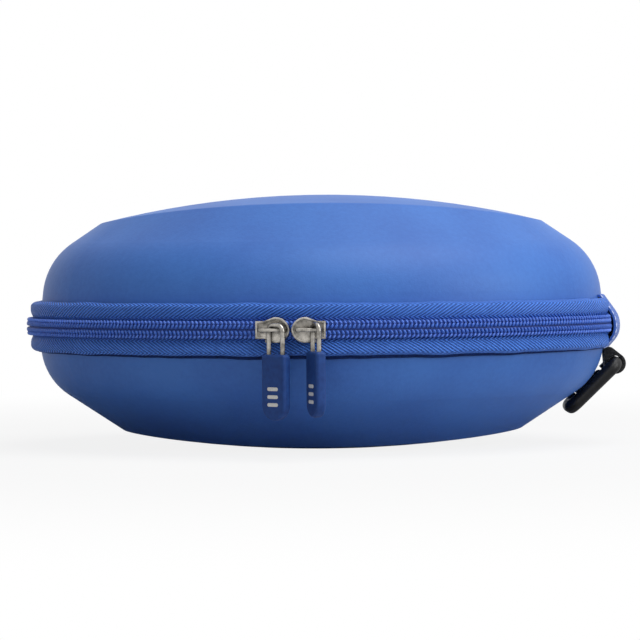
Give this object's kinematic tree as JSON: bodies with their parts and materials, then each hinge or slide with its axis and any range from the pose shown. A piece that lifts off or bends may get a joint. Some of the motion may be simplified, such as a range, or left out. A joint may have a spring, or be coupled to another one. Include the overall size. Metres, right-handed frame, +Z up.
{
  "type": "headphone case",
  "caption": "Oval moulded clamshell case with a zip round three sides, a sewn end hinge, moulded pull tabs, a mesh lid pocket and a small carabiner on a webbing loop.",
  "frame": {"origin": "middle of the flat that the closed case rests on", "axes": "+Z up, +X towards the sewn hinge and the carabiner, -Y towards the front with the zip sliders"},
  "size_m": [0.2149, 0.1794, 0.0899],
  "materials": {
    "moulded_skin": "matte polyurethane skin over moulded EVA foam",
    "lining": "brushed knit lining",
    "binding": "woven binding tape",
    "zip_tape": "herringbone woven polyester",
    "zip_coil": "nylon coil, semi-gloss",
    "hinge_cloth": "close plain weave",
    "black_webbing": "woven nylon webbing",
    "black_net": "knitted mesh",
    "black_elastic": "ribbed elastic",
    "satin_nickel": "satin nickel plate on zinc casting",
    "tab_silicone": "matte moulded silicone",
    "tab_inlay": "white, flush",
    "black_enamel": "gloss black enamel",
    "pin_steel": "bright steel"
  },
  "bodies": {
    "base": {"lower_shell": "moulded_skin", "lower_lining": "lining", "lower_binding": "binding", "lower_zip_tape": "zip_tape", "lower_zip_coil": "zip_coil", "hinge_patch_lower": "hinge_cloth", "hang_loop": "black_webbing"},
    "lid": {"upper_shell": "moulded_skin", "upper_lining": "lining", "upper_binding": "binding", "upper_zip_tape": "zip_tape", "upper_zip_coil": "zip_coil", "hinge_patch_upper": "hinge_cloth", "mesh_pocket": "black_net", "pocket_elastic": "black_elastic"},
    "left_slider": {"left_slider": "satin_nickel"},
    "right_slider": {"right_slider": "satin_nickel"},
    "left_pull": {"left_pull_ring": "satin_nickel", "left_pull_tab": "tab_silicone", "left_tab_inlay": "tab_inlay"},
    "right_pull": {"right_pull_ring": "satin_nickel", "right_pull_tab": "tab_silicone", "right_tab_inlay": "tab_inlay"},
    "carabiner": {"carabiner_frame": "black_enamel", "gate_pin": "pin_steel"},
    "gate": {"carabiner_gate": "black_enamel", "gate_spring": "pin_steel"}
  },
  "joints": [
    {"name": "lid_hinge", "type": "hinge", "parent": "base", "child": "lid", "pos_m": [0.107, 0, 0.0436], "axis": [0, 1, 0], "range_deg": [0, 150]},
    {"name": "left_slider_travel", "type": "hinge", "parent": "base", "child": "left_slider", "pos_m": [0, 0.0325, 0.0436], "axis": [0, 0, 1], "range_deg": [-41, 0]},
    {"name": "right_slider_travel", "type": "hinge", "parent": "base", "child": "right_slider", "pos_m": [0, 0.0325, 0.0436], "axis": [0, 0, 1], "range_deg": [0, 46]},
    {"name": "left_pull_swing", "type": "hinge", "parent": "left_slider", "child": "left_pull", "pos_m": [-0.01695, -0.08731, 0.0436], "axis": [-0.9901, 0.14, 0], "range_deg": [0, 75]},
    {"name": "right_pull_swing", "type": "hinge", "parent": "right_slider", "child": "right_pull", "pos_m": [-0.00464, -0.08841, 0.0436], "axis": [-0.9993, 0.0384, 0], "range_deg": [0, 70]},
    {"name": "carabiner_swing", "type": "hinge", "parent": "base", "child": "carabiner", "pos_m": [0.1051, 0, 0.0287], "axis": [0, -1, 0], "range_deg": [0, 75]},
    {"name": "gate_pivot", "type": "hinge", "parent": "carabiner", "child": "gate", "pos_m": [0.10021, 0.0073, 0.02398], "axis": [-0.6947, 0, 0.7193], "range_deg": [0, 25], "stiffness_Nm_per_rad": 0.02, "springref_deg": -11.46}
  ]
}
